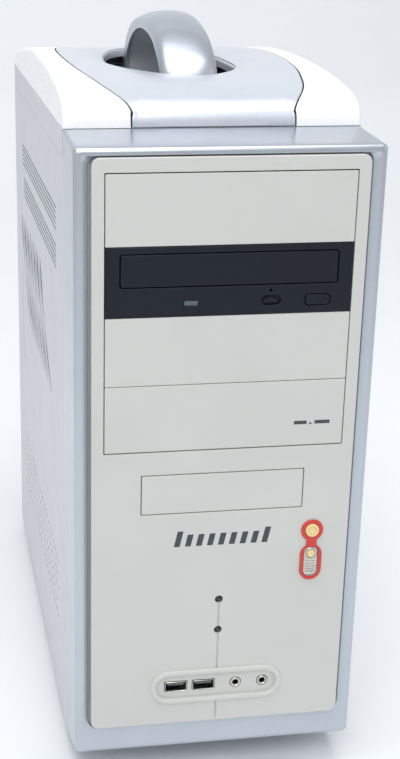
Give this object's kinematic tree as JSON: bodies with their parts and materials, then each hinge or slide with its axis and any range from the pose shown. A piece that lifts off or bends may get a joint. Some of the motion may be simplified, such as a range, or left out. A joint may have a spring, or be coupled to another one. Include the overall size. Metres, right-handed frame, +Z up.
{
  "type": "desktop computer tower",
  "caption": "Upright computer case with silver framed front, black optical drive, front ports and switches, and an arched carry handle set in a dished white and silver top.",
  "frame": {"origin": "on the floor under the middle of the tower", "axes": "+Z up, front faces -Y, +X to the right as seen from the front"},
  "size_m": [0.184, 0.431, 0.477],
  "materials": {
    "silver_lacquer": "metallic silver lacquer on moulded ABS, satin",
    "grey_abs": "fine spark-eroded texture, satin",
    "white_abs": "glossy white moulding",
    "black_abs": "fine texture, satin",
    "dark_grey_abs": "matte",
    "red_abs": "gloss",
    "cream_abs": "satin",
    "smoked_lens": "polished",
    "powder_coated_steel": "light grey powder coat",
    "galvanised_steel": "zinc-coated sheet",
    "nickel_plate": "bright nickel",
    "rubber": "matte",
    "fan_plastic": "matte",
    "circuit_board": "solder mask over glass fibre",
    "connector_plastic": "satin",
    "bare_aluminium": "milled and cast"
  },
  "bodies": {
    "chassis": {"chassis_base": "galvanised_steel", "chassis_front_sheet": "galvanised_steel", "chassis_rear_sheet": "galvanised_steel", "chassis_top_tray": "powder_coated_steel", "motherboard_tray": "galvanised_steel", "drive_cage": "galvanised_steel", "rubber_feet": "rubber", "bezel_frame": "silver_lacquer", "face_plate": "grey_abs", "bay_blank_top": "grey_abs", "bay_blank_third": "grey_abs", "bay_blank_fourth": "grey_abs", "floppy_blank": "grey_abs", "switch_surround": "red_abs", "switch_insert": "nickel_plate", "front_boards": "circuit_board", "status_lamps": "smoked_lens", "port_panel": "grey_abs", "usb_shells": "nickel_plate", "usb_tongues": "dark_grey_abs", "audio_jacks": "dark_grey_abs", "top_cover": "white_abs", "top_centre_panel": "silver_lacquer", "handle_well": "dark_grey_abs", "carry_handle": "silver_lacquer", "handle_screws": "nickel_plate", "drive_case": "galvanised_steel", "drive_bezel": "black_abs", "drive_lamp": "smoked_lens", "supply_case": "galvanised_steel", "supply_fan_frame": "fan_plastic", "supply_fan_grille": "nickel_plate", "inlet_and_switch": "black_abs", "rear_fan_frame": "fan_plastic", "io_shield": "galvanised_steel", "rear_connectors": "connector_plastic", "slot_covers": "galvanised_steel", "motherboard": "circuit_board", "board_components": "connector_plastic", "memory_modules": "circuit_board", "heatsink": "bare_aluminium", "cooler_fan_frame": "fan_plastic", "hard_drive": "bare_aluminium"},
    "left_side_panel": {"left_side_panel": "powder_coated_steel"},
    "right_side_panel": {"right_side_panel": "powder_coated_steel"},
    "left_upper_thumbscrew": {"left_upper_thumbscrew": "nickel_plate"},
    "left_lower_thumbscrew": {"left_lower_thumbscrew": "nickel_plate"},
    "right_upper_thumbscrew": {"right_upper_thumbscrew": "nickel_plate"},
    "right_lower_thumbscrew": {"right_lower_thumbscrew": "nickel_plate"},
    "disc_drawer": {"disc_tray": "dark_grey_abs", "tray_door": "black_abs"},
    "eject_button": {"eject_button": "black_abs"},
    "disc_spindle": {"disc_spindle": "dark_grey_abs"},
    "power_button": {"power_button": "cream_abs"},
    "reset_button": {"reset_button": "cream_abs"},
    "supply_fan_rotor": {"supply_fan_rotor": "fan_plastic"},
    "rear_fan_rotor": {"rear_fan_rotor": "fan_plastic"},
    "cooler_fan_rotor": {"cooler_fan_rotor": "fan_plastic"},
    "rocker_button": {"rocker_button": "black_abs"},
    "voltage_selector": {"voltage_selector": "red_abs"}
  },
  "joints": [
    {"name": "left_panel_slide", "type": "slide", "parent": "chassis", "child": "left_side_panel", "axis": [0, 1, 0], "range_m": [0, 0.38]},
    {"name": "right_panel_slide", "type": "slide", "parent": "chassis", "child": "right_side_panel", "axis": [0, 1, 0], "range_m": [0, 0.38]},
    {"name": "left_upper_thumbscrew_turn", "type": "hinge", "parent": "left_side_panel", "child": "left_upper_thumbscrew", "pos_m": [-0.0855, 0.2065, 0.358], "axis": [0, 1, 0], "continuous": true},
    {"name": "left_lower_thumbscrew_turn", "type": "hinge", "parent": "left_side_panel", "child": "left_lower_thumbscrew", "pos_m": [-0.0855, 0.2065, 0.0533], "axis": [0, 1, 0], "continuous": true},
    {"name": "right_upper_thumbscrew_turn", "type": "hinge", "parent": "right_side_panel", "child": "right_upper_thumbscrew", "pos_m": [0.0855, 0.2065, 0.358], "axis": [0, 1, 0], "continuous": true},
    {"name": "right_lower_thumbscrew_turn", "type": "hinge", "parent": "right_side_panel", "child": "right_lower_thumbscrew", "pos_m": [0.0855, 0.2065, 0.0533], "axis": [0, 1, 0], "continuous": true},
    {"name": "disc_drawer_slide", "type": "slide", "parent": "chassis", "child": "disc_drawer", "axis": [0, -1, 0], "range_m": [0, 0.135]},
    {"name": "eject_press", "type": "slide", "parent": "chassis", "child": "eject_button", "axis": [0, 1, 0], "range_m": [0, 0.001], "stiffness_N_per_m": 800},
    {"name": "power_press", "type": "slide", "parent": "chassis", "child": "power_button", "axis": [0, 1, 0], "range_m": [0, 0.0012], "stiffness_N_per_m": 1000},
    {"name": "reset_press", "type": "slide", "parent": "chassis", "child": "reset_button", "axis": [0, 1, 0], "range_m": [0, 0.0012], "stiffness_N_per_m": 1000},
    {"name": "spindle_turn", "type": "hinge", "parent": "chassis", "child": "disc_spindle", "pos_m": [0, -0.1395, 0.3194], "axis": [0, 0, 1], "continuous": true},
    {"name": "supply_fan_turn", "type": "hinge", "parent": "chassis", "child": "supply_fan_rotor", "pos_m": [0.03, 0.1889, 0.3596], "axis": [0, 1, 0], "continuous": true},
    {"name": "rear_fan_turn", "type": "hinge", "parent": "chassis", "child": "rear_fan_rotor", "pos_m": [-0.02745, 0.1789, 0.262], "axis": [0, 1, 0], "continuous": true},
    {"name": "cooler_fan_turn", "type": "hinge", "parent": "chassis", "child": "cooler_fan_rotor", "pos_m": [0.0051, 0.1062, 0.24], "axis": [1, 0, 0], "continuous": true},
    {"name": "rocker_tilt", "type": "hinge", "parent": "chassis", "child": "rocker_button", "pos_m": [-0.05, 0.2004, 0.3768], "axis": [0, 0, 1], "range_deg": [-14, 0]},
    {"name": "voltage_select", "type": "slide", "parent": "chassis", "child": "voltage_selector", "axis": [1, 0, 0], "range_m": [0, 0.005]}
  ]
}
